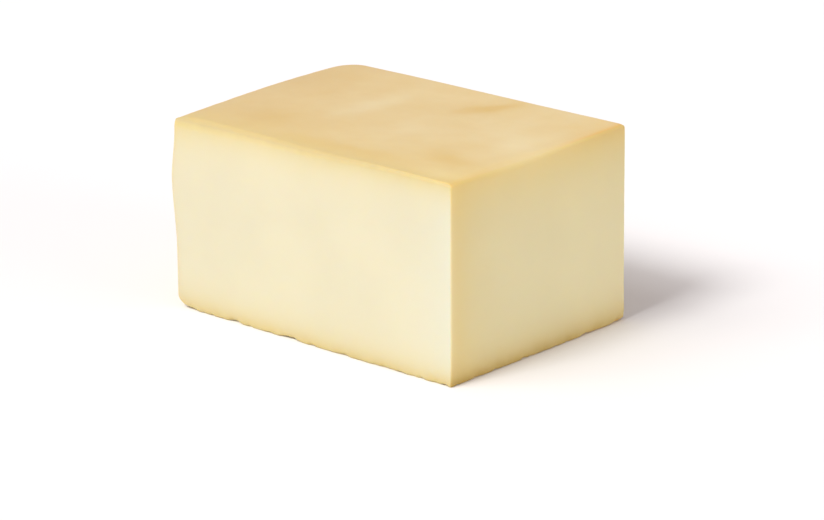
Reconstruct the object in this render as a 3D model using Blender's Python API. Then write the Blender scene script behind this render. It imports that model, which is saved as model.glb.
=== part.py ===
"""A block of hard goat cheese, cut from a flat pressed wheel about 60 mm thick.

Metres, +Z up. The origin is at the middle of the underside. The long cut face looks
along -Y, the short cut face along +X, and the wheel's rim is at -X. The rind covers
the top, the underside and the rim. The other three sides are knife cuts.
"""

import math

import bmesh
import bpy
from mathutils import Vector, noise

# Driving dimensions
LENGTH = 0.1125
DEPTH = 0.0788
HEIGHT = 0.060

# Knife cuts leave tight edges. The top's edges are softer, and the one along the long
# cut has one reach at its rim end and a tighter one at its other end
CUT_EDGE = 0.0007
RIM_EDGE = 0.0009
NEAR_TOP_EDGE = (0.0036, 0.0011)
FAR_TOP_EDGE = 0.0018

# The top edge of the short cut is worn round, most of all at one place along it, and
# is less deep than wide by the slope
WORN_EDGE = 0.0017
WORN_MOST = 0.0042
WORN_SLOPE = 0.7
WORN_CENTRE = -0.012
WORN_SPREAD = 0.018

# The rim's shoulders are long and low, as pressing in a mould leaves them
TOP_SHOULDER_NEAR = (0.0090, 0.0013)
TOP_SHOULDER_FAR = (0.0045, 0.0009)
FOOT_SHOULDER = (0.0110, 0.0036)

# The rim turns into the far cut through a wide curve in plan
RIM_CORNER = 0.0080

# The rim bulges in plan, most past its middle. It draws in between two heights of
# its side, and again under the top
RIM_BULGE = 0.0015
RIM_FULLEST = 0.012
RIM_WAIST = 0.0017
WAIST_HEIGHTS = (0.018, 0.042)
RIM_BROW = 0.0014
BROW_HEIGHTS = (0.040, 0.056)

# The short cut leans back towards its far top corner, where the top rises a little.
# The top sags along the long cut, on the half towards the rim
CUT_LEAN = 0.0013
TOP_RISE = 0.0004
TOP_SAG = 0.0008
SAG_END, SAG_START = -0.005, 0.035

# Slow waves: in the rind of the top, and where the knife wandered
TOP_WAVE = 0.0003
TOP_WAVELENGTH = 0.042
KNIFE_WAVE = 0.0003
KNIFE_WAVELENGTH = 0.060
TOP_PLACE, NEAR_PLACE, RIGHT_PLACE, FAR_PLACE = 5.9, 1.3, 3.7, 8.1

# Grid lines stand this far in from each edge, and evenly across the middle
EDGE_LINES = (0.0004, 0.0009, 0.0016, 0.0026, 0.0040, 0.0057, 0.0076, 0.0100, 0.013, 0.017)
MIDDLE_SPACING = 0.006

# The six sides of the plain block, each an axis and a way along it
HALF = (LENGTH / 2, DEPTH / 2, HEIGHT / 2)
RIM, RIGHT = (0, -1), (0, 1)
NEAR, FAR = (1, -1), (1, 1)
FOOT, TOP = (2, -1), (2, 1)

PASTE_COLOUR = (0.90, 0.80, 0.55, 1.0)
RIND_COLOUR = (0.78, 0.60, 0.31, 1.0)
PASTE_ROUGHNESS = 0.45
RIND_ROUGHNESS = 0.40


def clear_scene():
    for old in list(bpy.data.objects):
        bpy.data.objects.remove(old)


def material(name, colour, roughness):
    made = bpy.data.materials.new(name)
    made.use_nodes = True
    shader = made.node_tree.nodes["Principled BSDF"]
    shader.inputs["Base Color"].default_value = colour
    shader.inputs["Roughness"].default_value = roughness
    shader.inputs["Metallic"].default_value = 0.0
    return made


def grid_lines(half):
    """Where the inner grid lines cross one axis."""
    inner = half - EDGE_LINES[-1]
    gaps = math.ceil(2 * inner / MIDDLE_SPACING)
    middle = [inner * (2 * i / gaps - 1) for i in range(1, gaps)]
    edges = [way * (half - line) for line in EDGE_LINES for way in (-1, 1)]
    return middle + edges


def gridded_block():
    """A plain block about its own middle, whose six sides are cut into quads by planes."""
    block = bmesh.new()
    bmesh.ops.create_cube(block, size=1.0)
    bmesh.ops.scale(block, vec=(LENGTH, DEPTH, HEIGHT), verts=block.verts)
    for axis, half in enumerate(HALF):
        normal = [0, 0, 0]
        normal[axis] = 1
        for line in grid_lines(half):
            place = [0, 0, 0]
            place[axis] = line
            parts = block.verts[:] + block.edges[:] + block.faces[:]
            bmesh.ops.bisect_plane(block, geom=parts, plane_co=place, plane_no=normal)
    return block


def blend(low, high, t):
    t = min(1.0, max(0.0, t))
    return low + (high - low) * t * t * (3 - 2 * t)


def inset(point, side):
    axis, way = side
    return HALF[axis] - way * point[axis]


def round_edge(point, side_a, reach_a, side_b, reach_b):
    """Carries a point near the edge of two sides onto a quarter ellipse of these reaches."""
    s = 1 - inset(point, side_a) / reach_a
    t = 1 - inset(point, side_b) / reach_b
    if s <= 0 or t <= 0:
        return
    for (axis, way), reach, own, other in ((side_a, reach_a, s, t), (side_b, reach_b, t, s)):
        point[axis] = way * (HALF[axis] - reach * (1 - own * math.sqrt(1 - other**2 / 2)))


def worn_reach(y):
    """How far the top edge of the short cut is worn."""
    nearness = math.exp(-(((y - WORN_CENTRE) / WORN_SPREAD) ** 2))
    return WORN_EDGE + (WORN_MOST - WORN_EDGE) * nearness


def round_edges(point):
    """Rounds the twelve edges, the tight ones first, so that the wide ones carry them."""
    for sides in ((NEAR, FOOT), (NEAR, RIGHT), (FAR, FOOT), (FAR, RIGHT), (RIGHT, FOOT)):
        round_edge(point, sides[0], CUT_EDGE, sides[1], CUT_EDGE)
    near_top = blend(*NEAR_TOP_EDGE, inset(point, RIM) / LENGTH)
    round_edge(point, NEAR, RIM_EDGE, RIM, RIM_EDGE)
    round_edge(point, NEAR, near_top, TOP, near_top)
    round_edge(point, FAR, FAR_TOP_EDGE, TOP, FAR_TOP_EDGE)
    worn = worn_reach(point[1])
    round_edge(point, RIGHT, worn, TOP, worn * WORN_SLOPE)
    share = inset(point, NEAR) / DEPTH
    shoulder = [blend(a, b, share) for a, b in zip(TOP_SHOULDER_NEAR, TOP_SHOULDER_FAR)]
    round_edge(point, RIM, FOOT_SHOULDER[0], FOOT, FOOT_SHOULDER[1])
    round_edge(point, RIM, shoulder[0], TOP, shoulder[1])


def ramp(low, high, value):
    return blend(0.0, 1.0, (value - low) / (high - low))


def rim_inset(y, z):
    """How far the rim stands in from its fullest line."""
    across = (y - RIM_FULLEST) / (DEPTH / 2)
    below = 1 - ramp(*WAIST_HEIGHTS, z)
    above = ramp(*BROW_HEIGHTS, z)
    turned = min(RIM_CORNER, max(0.0, y - DEPTH / 2 + RIM_CORNER))
    corner = RIM_CORNER - math.sqrt(RIM_CORNER**2 - turned**2)
    return RIM_BULGE * across**2 + RIM_WAIST * below + RIM_BROW * above + corner


def wave(a, b, wavelength, place):
    return noise.noise(Vector((a / wavelength, b / wavelength, place)))


def shaped(place):
    """Carries a point of the plain block onto the cheese, which stands on z = 0."""
    point = list(place)
    round_edges(point)
    x, y = point[:2]
    z = point[2] + HEIGHT / 2
    rise = z / HEIGHT
    far_share = y / DEPTH + 0.5
    rim_push = (1 - ramp(-LENGTH / 2, 0, x)) * rim_inset(y, z)
    lean = CUT_LEAN * far_share * rise
    right_push = KNIFE_WAVE * wave(y, z, KNIFE_WAVELENGTH, RIGHT_PLACE) - lean
    near_push = KNIFE_WAVE * wave(x, z, KNIFE_WAVELENGTH, NEAR_PLACE)
    far_push = KNIFE_WAVE * wave(x, z, KNIFE_WAVELENGTH, FAR_PLACE)
    lift = TOP_WAVE * wave(x, y, TOP_WAVELENGTH, TOP_PLACE)
    lift += TOP_RISE * far_share * 2 * x / LENGTH
    lift -= TOP_SAG * (1 - far_share) * (1 - ramp(SAG_END, SAG_START, x))
    return Vector(
        (
            x + rim_push + ramp(0, LENGTH / 2, x) * right_push,
            y + (1 - ramp(-DEPTH / 2, 0, y)) * near_push + ramp(0, DEPTH / 2, y) * far_push,
            z + rise**2 * lift,
        )
    )


def centre(block):
    """Puts the middle of the block's plan on the origin."""
    for axis in (0, 1):
        places = [vertex.co[axis] for vertex in block.verts]
        middle = (min(places) + max(places)) / 2
        for vertex in block.verts:
            vertex.co[axis] -= middle


def is_rind(face):
    """The top, the underside and the rim of the plain block are rind."""
    return round(face.normal.z) != 0 or round(face.normal.x) == -1


def cheese_block():
    block = gridded_block()
    block.normal_update()
    for face in block.faces:
        face.material_index = 1 if is_rind(face) else 0
    for vertex in block.verts:
        vertex.co = shaped(vertex.co)
    centre(block)
    bmesh.ops.recalc_face_normals(block, faces=block.faces)
    mesh = bpy.data.meshes.new("goat_cheese")
    block.to_mesh(mesh)
    block.free()
    mesh.materials.append(material("paste", PASTE_COLOUR, PASTE_ROUGHNESS))
    mesh.materials.append(material("rind", RIND_COLOUR, RIND_ROUGHNESS))
    mesh.shade_smooth()
    cheese = bpy.data.objects.new("goat_cheese", mesh)
    bpy.context.scene.collection.objects.link(cheese)


clear_scene()
cheese_block()
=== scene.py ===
# %% [markdown]
# # A block of goat cheese
# The real thing is a piece of a flat pressed wheel. A tan rind covers its top, its underside and
# the moulded rim at its left end. The other three sides are knife cuts through dense cream paste.
# We load the measured model first. It fixes the size and the place of everything that follows, so
# nothing has to be fitted by eye afterwards.

# %% Load the measured model
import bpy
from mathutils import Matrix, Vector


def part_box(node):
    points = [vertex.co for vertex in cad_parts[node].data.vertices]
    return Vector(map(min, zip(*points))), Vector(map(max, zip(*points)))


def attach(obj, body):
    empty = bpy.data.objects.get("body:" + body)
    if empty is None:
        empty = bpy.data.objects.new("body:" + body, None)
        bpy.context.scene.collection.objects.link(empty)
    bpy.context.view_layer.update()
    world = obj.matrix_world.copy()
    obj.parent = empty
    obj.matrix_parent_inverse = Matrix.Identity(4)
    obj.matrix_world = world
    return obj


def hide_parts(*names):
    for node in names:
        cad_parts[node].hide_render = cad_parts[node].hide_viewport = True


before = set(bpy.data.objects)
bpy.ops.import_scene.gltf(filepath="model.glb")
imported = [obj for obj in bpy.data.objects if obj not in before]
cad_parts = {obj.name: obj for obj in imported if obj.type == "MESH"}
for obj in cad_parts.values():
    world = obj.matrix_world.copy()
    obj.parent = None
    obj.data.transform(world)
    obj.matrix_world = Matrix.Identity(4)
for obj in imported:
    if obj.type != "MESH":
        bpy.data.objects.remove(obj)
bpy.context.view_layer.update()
LOW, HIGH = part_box("goat_cheese")
print("the block's box:", [round(v, 4) for v in LOW], [round(v, 4) for v in HIGH])

# %% The tools, and the block's own sizes
import math

import bpy
from mathutils import Vector, noise

LENGTH, DEPTH, HEIGHT = (high - low for low, high in zip(LOW, HIGH))
HALF = (LENGTH / 2, DEPTH / 2, HEIGHT / 2)
MM = 0.001
print("length, depth and height in millimetres:", [round(2 * half / MM, 1) for half in HALF])

# %% [markdown]
# ## The camera
# The photograph was taken from far off with a long lens: the block's upright edges are almost
# parallel. A camera is therefore placed by the way it looks, the distance and the focal length,
# and not moved about by hand. The distance and the focal length go together: a camera twice as
# far with twice the lens shows the same size of block, with weaker perspective.

# %% Place the camera
CAMERA_AZIMUTH = math.radians(41.57)
CAMERA_ELEVATION = math.radians(18.25)
CAMERA_DISTANCE = 1.1133
LENS_MM = 164.7
AIM_RIGHT = 0.0051
AIM_UP = -0.0134

towards_camera = Vector((
    math.sin(CAMERA_AZIMUTH) * math.cos(CAMERA_ELEVATION),
    -math.cos(CAMERA_AZIMUTH) * math.cos(CAMERA_ELEVATION),
    math.sin(CAMERA_ELEVATION),
))
right = Vector((math.cos(CAMERA_AZIMUTH), math.sin(CAMERA_AZIMUTH), 0))
up = towards_camera.cross(right)
aim = Vector((0, 0, HALF[2])) + AIM_RIGHT * right + AIM_UP * up

camera = bpy.data.objects.new("camera", bpy.data.cameras.new("camera"))
camera.data.lens = LENS_MM
camera.data.clip_start = 0.01
camera.location = aim + CAMERA_DISTANCE * towards_camera
camera.rotation_euler = (-towards_camera).to_track_quat("-Z", "Y").to_euler()
bpy.context.scene.collection.objects.link(camera)
bpy.context.scene.camera = camera
print("the camera stands at", [round(v, 3) for v in camera.location])

# %% [markdown]
# ## The light and the floor
# The block lies on a white sweep in soft studio light. Light from all round, here the world's
# colour, fills the shadows. The key light from the left, in front and above, casts the dark
# shadow behind the short cut. A wider and weaker light further round to the left adds the faint
# shade along the foot of that cut. A low reflector on the right lifts the cut itself out of the
# shade. A sun lamp with a wide angle works like a big softbox that stands far away: its shadows
# are soft, and it doesn't weaken across the floor, so the white stays even. The Standard view is
# chosen because a white floor should stay white, as in a product picture.

# %% Fill the stage with light
FILL_STRENGTH = 0.46
FILL_COLOUR = (1.0, 0.89, 0.90, 1.0)
BACKDROP_STRENGTH = 1.1

bpy.context.scene.view_settings.view_transform = "Standard"
world = bpy.data.worlds.new("studio fill")
bpy.context.scene.world = world
world.use_nodes = True
world_nodes = world.node_tree.nodes
world_nodes.clear()
fill = world_nodes.new("ShaderNodeBackground")
fill.inputs["Color"].default_value = FILL_COLOUR
fill.inputs["Strength"].default_value = FILL_STRENGTH
backdrop = world_nodes.new("ShaderNodeBackground")
backdrop.inputs["Strength"].default_value = BACKDROP_STRENGTH
backdrop.inputs["Color"].default_value = (1, 1, 1, 1)
seen = world_nodes.new("ShaderNodeLightPath")
choice = world_nodes.new("ShaderNodeMixShader")
world_out = world_nodes.new("ShaderNodeOutputWorld")
world.node_tree.links.new(seen.outputs["Is Camera Ray"], choice.inputs[0])
world.node_tree.links.new(fill.outputs[0], choice.inputs[1])
world.node_tree.links.new(backdrop.outputs[0], choice.inputs[2])
world.node_tree.links.new(choice.outputs[0], world_out.inputs[0])
print("fill light of strength", FILL_STRENGTH)


# %% Hang the lights and the reflector
def hang_light(name, strength, softness, azimuth, elevation):
    """A sun lamp whose light comes from this far round from the camera, and this high, in degrees."""
    around = CAMERA_AZIMUTH + math.radians(azimuth)
    high = math.radians(elevation)
    level = math.cos(high)
    towards = Vector((math.sin(around) * level, -math.cos(around) * level, math.sin(high)))
    lamp = bpy.data.objects.new(name, bpy.data.lights.new(name, "SUN"))
    lamp.data.energy = strength
    lamp.data.angle = math.radians(softness)
    lamp.rotation_euler = towards.to_track_quat("Z", "Y").to_euler()
    bpy.context.scene.collection.objects.link(lamp)
    print(name, "comes from", [round(v, 2) for v in towards])


hang_light("key light", strength=1.62, softness=20, azimuth=-47, elevation=48)
hang_light("side light", strength=1.13, softness=40, azimuth=-72, elevation=48)
hang_light("reflector", strength=0.75, softness=24, azimuth=55, elevation=9)

# %% Lay the floor
FLOOR_RADIUS = 4.0
FLOOR_CORNERS = 64
FLOOR_COLOUR = (0.92, 0.92, 0.92, 1.0)

turns = [2 * math.pi * i / FLOOR_CORNERS for i in range(FLOOR_CORNERS)]
edge_points = [(FLOOR_RADIUS * math.cos(turn), FLOOR_RADIUS * math.sin(turn), 0) for turn in turns]
floor_mesh = bpy.data.meshes.new("floor")
floor_mesh.from_pydata(edge_points, [], [range(FLOOR_CORNERS)])
floor = bpy.data.objects.new("floor", floor_mesh)
bpy.context.scene.collection.objects.link(floor)
floor_material = bpy.data.materials.new("white sweep")
floor_material.use_nodes = True
floor_shader = floor_material.node_tree.nodes["Principled BSDF"]
floor_shader.inputs["Base Color"].default_value = FLOOR_COLOUR
floor_shader.inputs["Roughness"].default_value = 1.0
floor_shader.inputs["Specular IOR Level"].default_value = 0.0
floor_mesh.materials.append(floor_material)
print("the floor is", 2 * FLOOR_RADIUS, "metres across")

# %% [markdown]
# ## A block of quads
# A cheese is a box whose edges and sides have been softened, so we start from a box. It has to
# carry small relief, and its edges are rounded by less than a millimetre in places. A plain
# subdivided cube would spend its quads evenly. Instead we choose the grid lines ourselves: fine
# steps at every edge, which grow to an even spacing inside. Each side is then a net of quads
# between those lines, and neighbouring sides share their corners.

# %% Choose the grid lines
FINEST_STEP = 0.14 * MM
STEP_GROWTH = 1.22
WIDEST_STEP = 0.72 * MM


def grid_lines(half):
    """Places across one side, from -half to half, closest together at both ends."""
    from_edge, step = 0.0, FINEST_STEP
    edge_lines = []
    while step < WIDEST_STEP:
        edge_lines.append(from_edge)
        from_edge += step
        step *= STEP_GROWTH
    inner = half - from_edge
    gaps = math.ceil(2 * inner / WIDEST_STEP)
    middle = [inner * (2 * i / gaps - 1) for i in range(gaps + 1)]
    low_end = [line - half for line in edge_lines]
    high_end = [half - line for line in reversed(edge_lines)]
    return low_end + middle + high_end


LINES = [grid_lines(half) for half in HALF]
print("grid lines along length, depth and height:", [len(lines) for lines in LINES])

# %% Net the six sides
plain_points = []
quads = []
quad_sides = []
point_numbers = {}


def point_number(place):
    """The number of the point where three grid lines meet, made when first asked for."""
    if place not in point_numbers:
        point_numbers[place] = len(plain_points)
        plain_points.append([LINES[axis][place[axis]] for axis in range(3)])
    return point_numbers[place]


def net_side(axis, way):
    """Adds the quads of the side that faces along an axis, way being -1 or 1."""
    across, along = (axis + 1) % 3, (axis + 2) % 3
    place = [0, 0, 0]
    place[axis] = len(LINES[axis]) - 1 if way > 0 else 0
    for i in range(len(LINES[across]) - 1):
        for j in range(len(LINES[along]) - 1):
            quad = []
            for step_i, step_j in ((0, 0), (1, 0), (1, 1), (0, 1)):
                place[across], place[along] = i + step_i, j + step_j
                quad.append(point_number(tuple(place)))
            quads.append(quad if way > 0 else quad[::-1])
            quad_sides.append((axis, way))


for axis in range(3):
    for way in (-1, 1):
        net_side(axis, way)
print(len(plain_points), "points and", len(quads), "quads")

# %% [markdown]
# ## Edges worn by a knife, a mould and hands
# A knife leaves an edge that is tight but never razor-sharp. The press leaves long low shoulders
# along the top and the foot of the rim. The top edge of the short cut is worn round, most at one
# place. A bevel modifier could round the edges, but only by one width each. Here every point near
# an edge is carried onto a quarter ellipse, and the two reaches of the ellipse may change along
# the edge.

# %% Round the edges
CUT_EDGE = 0.7 * MM
RIM_EDGE = 0.9 * MM
NEAR_TOP_EDGE = (3.6 * MM, 1.1 * MM)
FAR_TOP_EDGE = 1.8 * MM
WORN_EDGE = 1.7 * MM
WORN_MOST = 4.2 * MM
WORN_SLOPE = 0.7
WORN_CENTRE = -12 * MM
WORN_SPREAD = 18 * MM
TOP_SHOULDER_NEAR = (9 * MM, 1.3 * MM)
TOP_SHOULDER_FAR = (4.5 * MM, 0.9 * MM)
FOOT_SHOULDER = (11 * MM, 3.6 * MM)
RIM, RIGHT = (0, -1), (0, 1)
NEAR, FAR = (1, -1), (1, 1)
FOOT, TOP = (2, -1), (2, 1)


def blend(low, high, t):
    t = min(1.0, max(0.0, t))
    return low + (high - low) * t * t * (3 - 2 * t)


def inset(point, side):
    """How far a point lies in from one of the block's sides."""
    axis, way = side
    return HALF[axis] - way * point[axis]


def round_edge(point, side_a, reach_a, side_b, reach_b):
    """Carries a point near the edge of two sides onto a quarter ellipse of these reaches."""
    s = 1 - inset(point, side_a) / reach_a
    t = 1 - inset(point, side_b) / reach_b
    if s <= 0 or t <= 0:
        return
    for (axis, way), reach, own, other in ((side_a, reach_a, s, t), (side_b, reach_b, t, s)):
        point[axis] = way * (HALF[axis] - reach * (1 - own * math.sqrt(1 - other**2 / 2)))


def worn_reach(y):
    """How far the top edge of the short cut is worn."""
    nearness = math.exp(-(((y - WORN_CENTRE) / WORN_SPREAD) ** 2))
    return WORN_EDGE + (WORN_MOST - WORN_EDGE) * nearness


def round_edges(point):
    """Rounds eleven of the twelve edges, all but the far edge of the rim, the tight ones first, so that
    the wide ones carry them.
    """
    for sides in ((NEAR, FOOT), (NEAR, RIGHT), (FAR, FOOT), (FAR, RIGHT), (RIGHT, FOOT)):
        round_edge(point, sides[0], CUT_EDGE, sides[1], CUT_EDGE)
    near_top = blend(*NEAR_TOP_EDGE, inset(point, RIM) / LENGTH)
    round_edge(point, NEAR, RIM_EDGE, RIM, RIM_EDGE)
    round_edge(point, NEAR, near_top, TOP, near_top)
    round_edge(point, FAR, FAR_TOP_EDGE, TOP, FAR_TOP_EDGE)
    worn = worn_reach(point[1])
    round_edge(point, RIGHT, worn, TOP, worn * WORN_SLOPE)
    share = inset(point, NEAR) / DEPTH
    shoulder = [blend(a, b, share) for a, b in zip(TOP_SHOULDER_NEAR, TOP_SHOULDER_FAR)]
    round_edge(point, RIM, FOOT_SHOULDER[0], FOOT, FOOT_SHOULDER[1])
    round_edge(point, RIM, shoulder[0], TOP, shoulder[1])


print("the worn edge reaches", round(worn_reach(WORN_CENTRE) / MM, 1), "mm at its most worn place")

# %% [markdown]
# ## A rim that bulges, a cut that leans
# No side of a cut cheese is flat. The rim of a pressed wheel bulges, the knife leans and wanders,
# and the top has slow waves and sags a little. We push each point by small amounts that fade out
# towards the middle of the block, so that opposite sides don't move together. Smooth noise gives
# the slow waves, as it gives the same result each time.

# %% Bend the sides
RIM_CORNER = 8 * MM
RIM_BULGE = 1.5 * MM
RIM_FULLEST = 12 * MM
RIM_WAIST = 1.7 * MM
WAIST_HEIGHTS = (18 * MM, 42 * MM)
RIM_BROW = 1.4 * MM
BROW_HEIGHTS = (40 * MM, 56 * MM)
CUT_LEAN = 1.3 * MM
TOP_RISE = 0.4 * MM
TOP_SAG = 0.8 * MM
SAG_END, SAG_START = -5 * MM, 35 * MM
TOP_WAVE = 0.3 * MM
TOP_WAVELENGTH = 42 * MM
KNIFE_WAVE = 0.3 * MM
KNIFE_WAVELENGTH = 60 * MM
TOP_PLACE, NEAR_PLACE, RIGHT_PLACE, FAR_PLACE = 5.9, 1.3, 3.7, 8.1


def ramp(low, high, value):
    return blend(0.0, 1.0, (value - low) / (high - low))


def rim_inset(y, z):
    """How far the rim stands in from its fullest line."""
    across = (y - RIM_FULLEST) / (DEPTH / 2)
    below = 1 - ramp(*WAIST_HEIGHTS, z)
    above = ramp(*BROW_HEIGHTS, z)
    turned = min(RIM_CORNER, max(0.0, y - DEPTH / 2 + RIM_CORNER))
    corner = RIM_CORNER - math.sqrt(RIM_CORNER**2 - turned**2)
    return RIM_BULGE * across**2 + RIM_WAIST * below + RIM_BROW * above + corner


def wave(a, b, wavelength, place):
    return noise.noise(Vector((a / wavelength, b / wavelength, place)))


def shaped(plain):
    """Carries a point of the plain block onto the cheese, which stands on z = 0."""
    point = list(plain)
    round_edges(point)
    x, y = point[:2]
    z = point[2] + HEIGHT / 2
    rise = z / HEIGHT
    far_share = y / DEPTH + 0.5
    rim_push = (1 - ramp(-LENGTH / 2, 0, x)) * rim_inset(y, z)
    lean = CUT_LEAN * far_share * rise
    right_push = KNIFE_WAVE * wave(y, z, KNIFE_WAVELENGTH, RIGHT_PLACE) - lean
    near_push = KNIFE_WAVE * wave(x, z, KNIFE_WAVELENGTH, NEAR_PLACE)
    far_push = KNIFE_WAVE * wave(x, z, KNIFE_WAVELENGTH, FAR_PLACE)
    lift = TOP_WAVE * wave(x, y, TOP_WAVELENGTH, TOP_PLACE)
    lift += TOP_RISE * far_share * 2 * x / LENGTH
    lift -= TOP_SAG * (1 - far_share) * (1 - ramp(SAG_END, SAG_START, x))
    return Vector((
        x + rim_push + ramp(0, LENGTH / 2, x) * right_push,
        y + (1 - ramp(-DEPTH / 2, 0, y)) * near_push + ramp(0, DEPTH / 2, y) * far_push,
        z + rise**2 * lift,
    ))


places = [shaped(plain) for plain in plain_points]
print("shaped", len(places), "points")

# %% Fit the shaped block to the measured one
spans = [(min(p[axis] for p in places), max(p[axis] for p in places)) for axis in range(3)]
for place in places:
    for axis, (low, high) in enumerate(spans):
        place[axis] = LOW[axis] + (place[axis] - low) * (HIGH[axis] - LOW[axis]) / (high - low)
print("stretched by", [round((HIGH[a] - LOW[a]) / (spans[a][1] - spans[a][0]), 4) for a in range(3)])

# %% Make the mesh, rind and paste apart
RIND_SIDES = (RIM, FOOT, TOP)

cheese_mesh = bpy.data.meshes.new("cheese_block")
cheese_mesh.from_pydata(places, [], quads)
cheese = bpy.data.objects.new("cheese_block", cheese_mesh)
bpy.context.scene.collection.objects.link(cheese)
for polygon, side in zip(cheese_mesh.polygons, quad_sides):
    polygon.material_index = 1 if side in RIND_SIDES else 0
cheese_mesh.shade_smooth()
print(sum(side in RIND_SIDES for side in quad_sides), "quads of rind")

# %% [markdown]
# ## Relief you can feel
# Bump shading alone looks flat at the outline and from the side, so the relief that a fingertip
# would find is real geometry. The rind has shallow dimples from the mould cloth, and upright
# pleats on the rim, where the cloth was gathered. A cut has faint ridges where the knife dragged.
# The lower edges are chipped where crumbs of rind broke away under the knife. Every push goes
# into the block, so that it keeps its size.

# %% Push in the relief
RIND_DIMPLE = 0.10 * MM
RIND_DIMPLE_SIZE = 5 * MM
RIM_PLEAT = 0.16 * MM
PLEAT_SIZE = (4.5 * MM, 28 * MM)
CUT_RIPPLE = 0.05 * MM
RIPPLE_SIZE = (2.2 * MM, 30 * MM)
CUT_DIMPLE = 0.05 * MM
CUT_DIMPLE_SIZE = 9 * MM
CHIP = 0.6 * MM
CHIP_SIZES = (2.4 * MM, 7 * MM)
CHIP_REACH = 1.6 * MM
CHIP_PLACE = Vector((83, 0, 0))
RIND_SEED, PLEAT_SEED, RIPPLE_SEED, CUT_SEED = 11.0, 19.0, 31.0, 57.0
RELIEF_MARGIN = 1.5 * MM


def hollow(point, size, depth, seed):
    """A dent between 0 and depth, from smooth noise."""
    return depth * (0.5 + 0.5 * noise.noise(Vector(point) / size + Vector((seed, 0, 0))))


def relief(plain):
    """How far a point is pushed in."""
    distances = {side: inset(plain, side) for side in (RIM, RIGHT, NEAR, FAR, FOOT, TOP)}
    from_rind = min(distances[side] for side in RIND_SIDES)
    from_cut = min(distances[side] for side in (RIGHT, NEAR, FAR))
    if from_rind == 0:
        push = hollow(plain, RIND_DIMPLE_SIZE, RIND_DIMPLE, RIND_SEED)
        if distances[RIM] == 0:
            across, along = plain[1] / PLEAT_SIZE[0], plain[2] / PLEAT_SIZE[1]
            gathered = noise.noise(Vector((across, along, PLEAT_SEED)))
            from_ends = min(distances[FOOT], distances[TOP])
            push += RIM_PLEAT * (0.5 + 0.5 * gathered) * min(1, from_ends / RELIEF_MARGIN)
        return push * min(1, from_cut / RELIEF_MARGIN)
    along = plain[1] if distances[RIGHT] == 0 else plain[0]
    drag = noise.noise(Vector((along / RIPPLE_SIZE[1], plain[2] / RIPPLE_SIZE[0], RIPPLE_SEED)))
    push = CUT_RIPPLE * (0.5 + 0.5 * drag) + hollow(plain, CUT_DIMPLE_SIZE, CUT_DIMPLE, CUT_SEED)
    return push * min(1, from_rind / RELIEF_MARGIN)


def chipped(plain):
    """How a point near the lower edge of a cut moves in and up, where crumbs broke away."""
    bite = CHIP * sum(max(0, noise.noise(Vector(plain) / size + CHIP_PLACE)) for size in CHIP_SIZES)
    low = math.exp(-inset(plain, FOOT) / CHIP_REACH)
    moved = Vector((0, 0, 0))
    for axis, way in (RIGHT, NEAR, FAR):
        push = bite * low * math.exp(-inset(plain, (axis, way)) / CHIP_REACH)
        moved[axis] -= way * push
        moved[2] = max(moved[2], push)
    return moved


normals = [vertex.normal.copy() for vertex in cheese_mesh.vertices]
for vertex, normal, plain in zip(cheese_mesh.vertices, normals, plain_points):
    if inset(plain, FOOT) > 0:
        vertex.co -= normal * relief(plain)
    vertex.co += chipped(plain)
cheese_mesh.update()
print("deepest relief", round(max(relief(plain) for plain in plain_points) / MM, 2), "mm")

# %% [markdown]
# ## What each point knows about the cheese
# A cheese dries and ripens from its rind inwards, and a cut dries from its edges inwards, so the
# colour of a point depends on how far it lies from each side. The colour could be painted by
# hand, but the block already knows these distances. We store them on the mesh as named
# attributes, which any material can read. One more attribute says how dry a cut is. The short one
# was made first, so it has dried for longest, and it stands in shade. The far cut, also in shade,
# gets half as much. The same number paints their warmer, deeper tone, which is partly drier paste
# and partly painted warm shade. The long one in front is freshly cut and lit.

# %% Store the distances on the mesh
# The far cut stands in shade: its half share is partly drying and partly painted warm shade.
FAR_DRYNESS_AND_SHADE = 0.5


def store(name, values):
    """Keeps one number a point on the mesh, under a name that a material can ask for."""
    kept = cheese_mesh.attributes.new(name, "FLOAT", "POINT")
    kept.data.foreach_set("value", list(values))
    print(name, "runs from", round(min(values), 4), "to", round(max(values), 4))


store("under_top", [inset(plain, TOP) for plain in plain_points])
store("above_foot", [inset(plain, FOOT) for plain in plain_points])
store("from_rim", [inset(plain, RIM) for plain in plain_points])
store("from_front", [inset(plain, NEAR) for plain in plain_points])
store("from_short_cut", [inset(plain, RIGHT) for plain in plain_points])


def dryness_and_shade(plain):
    """How long a cut has been drying, from 0 for the newly cut one to 1 for the oldest. The same number
    paints the warmer tone of the cuts that stand in shade.
    """
    if inset(plain, RIGHT) == 0:
        return 1.0
    return FAR_DRYNESS_AND_SHADE if inset(plain, FAR) == 0 else 0.0


store("dryness_and_shade", [dryness_and_shade(plain) for plain in plain_points])

# %% [markdown]
# ## Where the rind was rubbed and pressed
# The rind of the top isn't one colour. It has a few broad soft spots, brown where the board or a
# hand pressed moisture out and pale where it was rubbed, and its edge over the short cut has gone
# golden. Noise alone can't put a spot where the real cheese has it. So each spot is one line
# here, with its middle, its two half-lengths, its turn and how brown it is, and noise only frays
# its outline. Below zero means pale. The spots are weaker on the underside.

# %% Place the soft spots of the rind
# Each spot: its middle along and across the block, its half-lengths, its turn, and how brown it is.
# Millimetres and degrees
SOFT_SPOTS = (
    (14, 26, 10, 3.8, 63, 1.3),
    (-31, -22, 13, 10, 20, 0.9),
    (40, -22, 10, 5, -28, 0.8),
    (-43, 25, 9, 8, 0, 0.6),
    (10, -32, 24, 4, 0, 0.7),
    (-15.5, 5, 4.5, 15, 0, -0.9),
    (12, -4, 7, 7, 0, -0.5),
    (46, 2, 7, 12, 0, -0.7),
    (50, -35, 7, 5, 30, -0.9),
)
FRAY = 3.5
FRAY_SIZE = 9.0
FRAY_SEEDS = (21.0, 47.0)
UNDERSIDE_SHARE = 0.5


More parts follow.
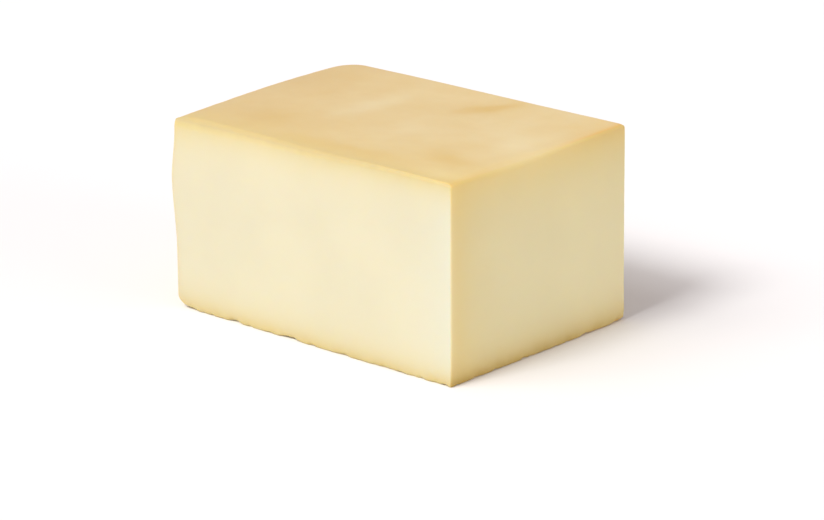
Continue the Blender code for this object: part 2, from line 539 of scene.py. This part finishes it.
def rind_tone(plain):
    """How brown the rind is at a point, with 0 for plain tan and less for pale."""
    x, y = plain[0] / MM, plain[1] / MM
    x += FRAY * noise.noise(Vector((x / FRAY_SIZE, y / FRAY_SIZE, FRAY_SEEDS[0])))
    y += FRAY * noise.noise(Vector((x / FRAY_SIZE, y / FRAY_SIZE, FRAY_SEEDS[1])))
    tone = 0.0
    for middle_x, middle_y, length, width, turn, strength in SOFT_SPOTS:
        ahead = Vector((x - middle_x, y - middle_y))
        cos, sin = math.cos(math.radians(turn)), math.sin(math.radians(turn))
        along, aside = ahead.x * cos + ahead.y * sin, ahead.y * cos - ahead.x * sin
        tone += strength * math.exp(-((along / length) ** 2) - (aside / width) ** 2)
    return tone * (1 if plain[2] > 0 else UNDERSIDE_SHARE)


tones = [rind_tone(plain) for plain in plain_points]
store("brown_spots", [max(tone, 0.0) for tone in tones])
store("pale_spots", [max(-tone, 0.0) for tone in tones])

# %% Let the edge over the short cut go golden, and pale with a painted highlight where it is most worn
# Millimetres, apart from the share that GOLDEN_NEAR starts with
GOLDEN_REACH = 2.2
GOLDEN_FAR = (-5, 34)
GOLDEN_NEAR = (0.45, -34, 12)
GOLDEN_UNEVEN = 0.5
GOLDEN_SEED = (5.0, 3.0)
PALE_CENTRE = -3
PALE_SPREAD = 20
PALE_REACH = 2.5


def golden_edge(plain):
    """How golden the rind is beside the short cut: most at its far end, a little at its near one."""
    y = plain[1] / MM
    share, middle, width = GOLDEN_NEAR
    strength = ramp(*GOLDEN_FAR, y) + share * math.exp(-(((y - middle) / width) ** 2))
    strength *= 1 + GOLDEN_UNEVEN * noise.noise(Vector((y / FRAY_SIZE, *GOLDEN_SEED)))
    return strength * math.exp(-inset(plain, RIGHT) / MM / GOLDEN_REACH)


def worn_pale_and_highlit_edge(plain):
    """How much of the paler layer shows where the edge over the short cut is worn through, with a painted
    highlight where that worn edge catches the light.
    """
    nearness = math.exp(-(((plain[1] / MM - PALE_CENTRE) / PALE_SPREAD) ** 2))
    return nearness * math.exp(-max(inset(plain, RIGHT), inset(plain, TOP)) / MM / PALE_REACH)


store("golden_edge", [golden_edge(plain) for plain in plain_points])
store("worn_pale_and_highlit_edge", [worn_pale_and_highlit_edge(plain) for plain in plain_points])

# %% [markdown]
# ## Effects that both materials share
# The rind and the paste are different materials, but three effects appear in both: soft clouds of
# colour, a share that fades with the distance from an edge, which carries stains and also painted
# light and shade, and a fine grain that catches the light. Each is built once as a node group with
# named inputs. A material then places the group and gives it its own sizes.

# %% Helpers for building node trees
def add(tree, kind, sockets=None, **settings):
    """Adds a node with its settings, then links each socket to an output or gives it a value."""
    node = tree.nodes.new(kind)
    for name, value in settings.items():
        setattr(node, name, value)
    for name, value in (sockets or {}).items():
        if isinstance(value, bpy.types.NodeSocket):
            tree.links.new(value, node.inputs[name])
        else:
            node.inputs[name].default_value = value
    return node


def maths(tree, operation, *values):
    return add(tree, "ShaderNodeMath", dict(enumerate(values)), operation=operation).outputs[0]


def mix_colour(tree, share, first, second, blending="MIX"):
    """Mixes two colours, each given as a colour or as an output."""
    sockets = {0: share, 6: first, 7: second}
    return add(tree, "ShaderNodeMix", sockets, data_type="RGBA", blend_type=blending).outputs[2]


def new_group(name, inputs, output):
    """An empty node group with number inputs, given with their starting values, and one output."""
    group = bpy.data.node_groups.new(name, "ShaderNodeTree")
    for socket_name, value in inputs.items():
        socket = group.interface.new_socket(socket_name, in_out="INPUT", socket_type="NodeSocketFloat")
        socket.default_value = value
    group.interface.new_socket(output, in_out="OUTPUT", socket_type="NodeSocketFloat")
    return group, group.nodes.new("NodeGroupInput").outputs, group.nodes.new("NodeGroupOutput").inputs


def place_group(tree, group, sockets):
    return add(tree, "ShaderNodeGroup", sockets, node_tree=group).outputs[0]


def position(tree, size):
    """Places on the block, measured in steps of a size given in millimetres."""
    where = tree.nodes.new("ShaderNodeTexCoord").outputs["Object"]
    scale = maths(tree, "DIVIDE", 1 / MM, size)
    return add(tree, "ShaderNodeVectorMath", {0: where, "Scale": scale}, operation="SCALE").outputs[0]


print("six helpers for node trees ready")

# %% Soft clouds
clouds, given, result = new_group("soft clouds", {"Size": 20.0, "Seed": 0.0}, "Cloud")
cloud_noise = add(clouds, "ShaderNodeTexNoise", noise_dimensions="4D")
clouds.links.new(position(clouds, given["Size"]), cloud_noise.inputs["Vector"])
clouds.links.new(given["Seed"], cloud_noise.inputs["W"])
cloud_noise.inputs["Scale"].default_value = 1.0
cloud_noise.inputs["Detail"].default_value = 2.5
cloud_noise.inputs["Roughness"].default_value = 0.45
clouds.links.new(cloud_noise.outputs["Fac"], result["Cloud"])
print("group", clouds.name)

# %% A share that fades inwards, for staining and for painted light and shade
STAIN_AND_SHADE_INPUTS = {"Distance": 0.0, "Reach": 3.0, "Wobble": 0.5, "Wobble Size": 8.0}
stain_and_shade, given, result = new_group("fading stain", STAIN_AND_SHADE_INPUTS, "Stain And Shade")
uneven = add(stain_and_shade, "ShaderNodeTexNoise", {"Vector": position(stain_and_shade, given["Wobble Size"]), "Scale": 1.0})
centred = maths(stain_and_shade, "SUBTRACT", uneven.outputs["Fac"], 0.5)
distance_mm = maths(stain_and_shade, "DIVIDE", given["Distance"], MM)
wobbled = maths(stain_and_shade, "MULTIPLY_ADD", centred, given["Wobble"], distance_mm)
fall = maths(stain_and_shade, "DIVIDE", maths(stain_and_shade, "MAXIMUM", wobbled, 0.0), given["Reach"])
stain_and_shade.links.new(maths(stain_and_shade, "EXPONENT", maths(stain_and_shade, "MULTIPLY", fall, -1.0)), result["Stain And Shade"])
print("group", stain_and_shade.name)

# %% A fine grain
FINE_SHARE = 0.35
FINE_SCALE = 4.1
grain, given, result = new_group("fine grain", {"Size": 1.0}, "Height")
where = position(grain, given["Size"])
coarse = add(grain, "ShaderNodeTexNoise", {"Vector": where, "Scale": 1.0, "Detail": 3.0})
fine = add(grain, "ShaderNodeTexNoise", {"Vector": where, "Scale": FINE_SCALE, "Detail": 2.0})
coarse_part = maths(grain, "MULTIPLY", coarse.outputs["Fac"], 1 - FINE_SHARE)
grain_height = maths(grain, "MULTIPLY_ADD", fine.outputs["Fac"], FINE_SHARE, coarse_part)
grain.links.new(grain_height, result["Height"])
print("group", grain.name)

# %% [markdown]
# ## The paste
# The cut paste is dense and cream, with a little light passing through it: near a sharp edge that
# light comes out again, warmer than it went in. Subsurface scattering gives this soft light, with
# red travelling furthest. Its weight and radius are the same all over, so they are set on the
# shader itself, and only the colour, the roughness and the grain change over the surface. The
# colours stand together here, because they are tuned by comparing them with each other.

# %% The colours of the paste
# The colours for the older cut belong to the cuts in shade: they are partly drier paste and partly
# painted warm shade.
PASTE_FRESH = (0.685, 0.643, 0.453, 1.0)
PASTE_LIGHT = (0.765, 0.71, 0.50, 1.0)
PASTE_DRIED_SHADED = (0.757, 0.69, 0.418, 1.0)
# The next colour paints shade on the short cut beside the long one, and deepens it under its far top.
PASTE_DEEP_AND_PAINTED_SHADE = (0.655, 0.56, 0.27, 1.0)
GOLD_FRESH = (0.70, 0.585, 0.255, 1.0)
GOLD_DRIED_SHADED = (0.78, 0.596, 0.213, 1.0)
# The next colour paints light on the long cut beside the sharp upright edge.
FRONT_PAINTED_LIGHT = (0.70, 0.708, 0.565, 1.0)
SKIN_FRESH = (0.585, 0.475, 0.235, 1.0)
SKIN_DRIED_SHADED = (0.685, 0.50, 0.178, 1.0)
# The next colour is pale worn rind, and also a painted highlight on the worn edge.
WORN_PALE_AND_HIGHLIGHT = (0.765, 0.66, 0.36, 1.0)
# The next colour is partly staining and partly painted contact shade at the foot.
FOOT_STAIN_AND_SHADE = (0.47, 0.32, 0.075, 1.0)
print("paste, fresh and dried:", PASTE_FRESH[:3], PASTE_DRIED_SHADED[:3])

# %% Helpers for the two materials
SCATTER_RADIUS = (1.0, 0.72, 0.36)
SCATTER_SCALE = 2.6 * MM
CHEESE_IOR = 1.45
CHEESE_SPECULAR = 0.4


def cheese_material(name, subsurface_weight):
    """A material into which light sinks a little, with its node tree and its shader."""
    made = bpy.data.materials.new(name)
    made.use_nodes = True
    shader = made.node_tree.nodes["Principled BSDF"]
    shader.inputs["Subsurface Weight"].default_value = subsurface_weight
    shader.inputs["Subsurface Radius"].default_value = SCATTER_RADIUS
    shader.inputs["Subsurface Scale"].default_value = SCATTER_SCALE
    shader.inputs["IOR"].default_value = CHEESE_IOR
    shader.inputs["Specular IOR Level"].default_value = CHEESE_SPECULAR
    return made, made.node_tree, shader


def attribute(tree, name):
    return add(tree, "ShaderNodeAttribute", attribute_name=name).outputs["Fac"]


def scaled(tree, share, factor):
    return maths(tree, "MULTIPLY", share, factor)


def between(tree, share, first, second):
    """A number that goes from the first to the second as the share goes from 0 to 1."""
    return maths(tree, "MULTIPLY_ADD", share, second - first, first)


def faded(tree, name, reach, wobble, strength, wobble_size=8.0):
    """A share that starts at one of the block's sides and fades over a reach in millimetres, for staining
    and for painted light and shade.
    """
    sockets = {"Distance": attribute(tree, name), "Reach": reach}
    sockets |= {"Wobble": wobble, "Wobble Size": wobble_size}
    return scaled(tree, place_group(tree, stain_and_shade, sockets), strength)


def grained(tree, size, height):
    """A normal that carries the fine grain, its size in millimetres."""
    sockets = {"Height": place_group(tree, grain, {"Size": size}), "Strength": 1.0, "Distance": height}
    return add(tree, "ShaderNodeBump", sockets).outputs[0]


print("six helpers for the materials ready")

# %% Start the paste from two creams
paste, tree, shader = cheese_material("paste", subsurface_weight=0.5)
dried_and_shaded = attribute(tree, "dryness_and_shade")
fresh_and_lit = maths(tree, "SUBTRACT", 1.0, dried_and_shaded)
# The cream and gold of the cuts in shade are partly drier paste and partly painted warm shade.
cream = mix_colour(tree, dried_and_shaded, PASTE_FRESH, PASTE_DRIED_SHADED)
golden = mix_colour(tree, dried_and_shaded, GOLD_FRESH, GOLD_DRIED_SHADED)
print("the paste has its cream and its gold")

# %% [markdown]
# ## How the paste changes from its edges inwards, with painted light and shade
# Paste is yellower under the rind. At the foot it goes from yellow to brown, and that brown is
# partly a stain and partly painted contact shade. The short cut is older and stands in shade. A
# little way in from the long one it carries painted shade, and right beside that edge a painted
# warm glow. It is deeper in colour under its far top corner. The sharp upright edge between the two
# cuts is pale, a painted light, because light passes through it. Each of these is one share from
# 0 to 1 that starts at a side and fades inwards. The shares keep the colours apart from the places,
# so either can be tuned alone. The shares are made first, and the colours are laid over each
# other at the end.

# %% Deeper and paler zones of the two cuts, with painted light and shade
light_top = faded(tree, "under_top", reach=18.0, wobble=5.0, strength=scaled(tree, fresh_and_lit, 0.7))
# Painted light: the long cut is paler for about 9 mm beside the sharp upright edge.
painted_light_front = faded(tree, "from_short_cut", reach=9.0, wobble=3.0, strength=scaled(tree, fresh_and_lit, 0.8))
# Painted light: a warm golden glow on the short cut beside the long one, where light comes out through
# the edge. Right at the edge it is taken away again.
painted_glow_beside = faded(tree, "from_front", reach=6.5, wobble=2.0, strength=scaled(tree, dried_and_shaded, 0.8))
pale_corner = faded(tree, "from_front", reach=1.3, wobble=0.5, strength=scaled(tree, dried_and_shaded, 0.75))
painted_glow_front = maths(tree, "MAXIMUM", maths(tree, "SUBTRACT", painted_glow_beside, pale_corner), 0.0)
# Painted shade: the short cut is darker beside the long one, fading over about 20 mm.
painted_shade_front = faded(tree, "from_front", reach=20.0, wobble=6.0, strength=scaled(tree, dried_and_shaded, 0.55))
not_far = faded(tree, "from_front", reach=40.0, wobble=6.0, strength=dried_and_shaded)
far_off = maths(tree, "SUBTRACT", dried_and_shaded, not_far)
# Deeper in colour under the far top of the short cut.
deep_top = faded(tree, "under_top", reach=16.0, wobble=3.0, strength=scaled(tree, far_off, 0.8))
deep_and_painted_shade = maths(tree, "MAXIMUM", maths(tree, "SUBTRACT", painted_shade_front, pale_corner), deep_top)
print("paste: zones of the cuts")

# %% Yellow under the rind; brown and painted contact shade at the foot
TOP_REACH = (4.4, 8.5)
FOOT_REACH = (3.6, 4.4)

near_rim = faded(tree, "from_rim", reach=14.0, wobble=3.0, strength=1.0)
top_reach = maths(tree, "ADD", between(tree, dried_and_shaded, *TOP_REACH), scaled(tree, near_rim, 1.6))
top_strength = between(tree, near_rim, 1.0, 1.35)
gold_top = faded(tree, "under_top", reach=top_reach, wobble=1.6, strength=top_strength)
foot_reach = between(tree, dried_and_shaded, *FOOT_REACH)
gold_foot = faded(tree, "above_foot", reach=foot_reach, wobble=1.6, strength=0.85)
near_front = faded(tree, "from_front", reach=45.0, wobble=8.0, strength=dried_and_shaded)
# Brown at the foot is partly staining and partly painted contact shade, strongest on the short cut near
# the long one.
foot_stain_and_shade_strength = between(tree, near_front, 0.50, 1.2)
foot_stain_and_shade = faded(tree, "above_foot", reach=3.0, wobble=2.0, strength=foot_stain_and_shade_strength)
print("paste: yellow for", TOP_REACH, "mm under the rind, on the fresh and the dried cut")

# %% [markdown]
# ## The skin along the top edge
# Where rind and cut meet, a thin browner skin runs along the edge. Hands have rubbed it thinner
# near the short cut, and at the worn middle of that cut's own edge a paler layer shows through.
# There the pale is also a painted highlight, where the rounded edge catches the light. A skin of
# one even width would look like a pencil line, so its reach and its strength both change along
# the edge.

# %% Grow and wear the skin
handled = faded(tree, "from_short_cut", reach=30.0, wobble=4.0, strength=-0.4)
fresh_skin = maths(tree, "MULTIPLY_ADD", handled, fresh_and_lit, fresh_and_lit)
at_far_end = between(tree, near_front, 1.1, 0.0)
far_skin = maths(tree, "MULTIPLY", attribute(tree, "golden_edge"), at_far_end)
any_skin = maths(tree, "ADD", far_skin, fresh_skin)
skin_reach = maths(tree, "MULTIPLY_ADD", handled, 2.75, between(tree, dried_and_shaded, 1.7, 4.1))
skin_top = faded(tree, "under_top", skin_reach, wobble=1.2, strength=any_skin, wobble_size=3.5)
skin_rim = faded(tree, "from_rim", reach=0.7, wobble=0.5, strength=0.8)
skin_share = maths(tree, "MAXIMUM", skin_top, skin_rim)
skin = mix_colour(tree, dried_and_shaded, SKIN_FRESH, SKIN_DRIED_SHADED)
# Paler where the edge is most worn, and a painted highlight where it catches the light.
worn = scaled(tree, attribute(tree, "worn_pale_and_highlit_edge"), 0.7)
print("paste: skin along the top edge and the rim")

# %% Lay the stains, and the painted light and shade, over the cream
STAINS_AND_SHADES = (
    (light_top, PASTE_LIGHT),
    (painted_light_front, FRONT_PAINTED_LIGHT),
    (deep_and_painted_shade, PASTE_DEEP_AND_PAINTED_SHADE),
    (painted_glow_front, golden),
    (gold_top, golden),
    (gold_foot, golden),
    (foot_stain_and_shade, FOOT_STAIN_AND_SHADE),
    (skin_share, skin),
    (worn, WORN_PALE_AND_HIGHLIGHT),
)
coloured = cream
for share, colour in STAINS_AND_SHADES:
    coloured = mix_colour(tree, share, coloured, colour)

cloud = place_group(tree, clouds, {"Size": 24.0, "Seed": 3.0})
shade = between(tree, cloud, 0.95, 1.05)
tree.links.new(mix_colour(tree, 1.0, coloured, shade, "MULTIPLY"), shader.inputs["Base Color"])
tree.links.new(between(tree, cloud, 0.40, 0.56), shader.inputs["Roughness"])
tree.links.new(grained(tree, 0.9, 0.02 * MM), shader.inputs["Normal"])
cheese_mesh.materials.append(paste)
print("material", paste.name, "with", len(STAINS_AND_SHADES), "stains and", len(tree.nodes), "nodes")

# %% [markdown]
# ## The rind
# The rind is the paste's own dried skin: tan, smooth and faintly waxy, with broad soft clouds where
# it was rubbed and turned. It is older and browner towards the rim, yellower beside the long cut,
# and golden or worn pale along the short one. That pale also paints a highlight on the worn edge.
# It is more opaque than the paste, so less light sinks into it. It is made as the paste was, from
# the same groups with other values.

# %% The colours of the rind
RIND_TAN = (0.785, 0.61, 0.31, 1.0)
RIND_PALE = (0.82, 0.715, 0.43, 1.0)
RIND_BROWN = (0.715, 0.51, 0.185, 1.0)
RIND_GOLDEN = (0.735, 0.47, 0.14, 1.0)
RIND_YELLOW = (0.81, 0.63, 0.215, 1.0)
RIND_OLD = (0.69, 0.51, 0.24, 1.0)
TAN_SHARE = 0.2
print("rind, pale and brown:", RIND_PALE[:3], RIND_BROWN[:3])

# %% Mottle the rind
rind, tree, shader = cheese_material("rind", subsurface_weight=0.25)
broad = place_group(tree, clouds, {"Size": 20.0, "Seed": 7.0})
small = place_group(tree, clouds, {"Size": 8.0, "Seed": 13.0})
mottled = maths(tree, "MULTIPLY_ADD", broad, 0.7, scaled(tree, small, 0.3))
ground = mix_colour(tree, mottled, RIND_PALE, RIND_BROWN)
ground = mix_colour(tree, TAN_SHARE, ground, RIND_TAN)
spotted = mix_colour(tree, attribute(tree, "brown_spots"), ground, RIND_BROWN)
rubbed = mix_colour(tree, attribute(tree, "pale_spots"), spotted, RIND_PALE)
print("rind: clouds and spots")

# %% Age the rind towards its edges
old_strength = between(tree, mottled, 0.35, 1.25)
old = faded(tree, "from_rim", reach=45.0, wobble=12.0, strength=old_strength)
aged = mix_colour(tree, old, rubbed, RIND_OLD)
beside_cut = faded(tree, "from_front", reach=8.0, wobble=5.0, strength=0.7)
yellowed = mix_colour(tree, beside_cut, aged, RIND_YELLOW)
beside_front = faded(tree, "from_front", reach=14.0, wobble=4.0, strength=0.9)
corner = faded(tree, "from_short_cut", reach=7.0, wobble=4.0, strength=beside_front)
cornered = mix_colour(tree, corner, yellowed, RIND_YELLOW)
rubbed_off = faded(tree, "from_short_cut", reach=25.0, wobble=4.0, strength=-0.5)
left_on = maths(tree, "ADD", rubbed_off, 0.9)
front_skin = faded(tree, "from_front", reach=2.6, wobble=1.4, strength=left_on, wobble_size=3.5)
skinned = mix_colour(tree, front_skin, cornered, SKIN_FRESH)
gilded = mix_colour(tree, attribute(tree, "golden_edge"), skinned, RIND_GOLDEN)
# Paler where the edge is most worn, and a painted highlight where it catches the light.
worn_through_and_highlit = scaled(tree, attribute(tree, "worn_pale_and_highlit_edge"), 0.42)
tree.links.new(mix_colour(tree, worn_through_and_highlit, gilded, WORN_PALE_AND_HIGHLIGHT), shader.inputs["Base Color"])
tree.links.new(between(tree, small, 0.34, 0.54), shader.inputs["Roughness"])
tree.links.new(grained(tree, 1.4, 0.03 * MM), shader.inputs["Normal"])
cheese_mesh.materials.append(rind)
print("material", rind.name, "with", len(tree.nodes), "nodes")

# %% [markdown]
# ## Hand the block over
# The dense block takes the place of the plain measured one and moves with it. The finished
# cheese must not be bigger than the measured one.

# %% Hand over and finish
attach(cheese, "root")
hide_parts("goat_cheese")
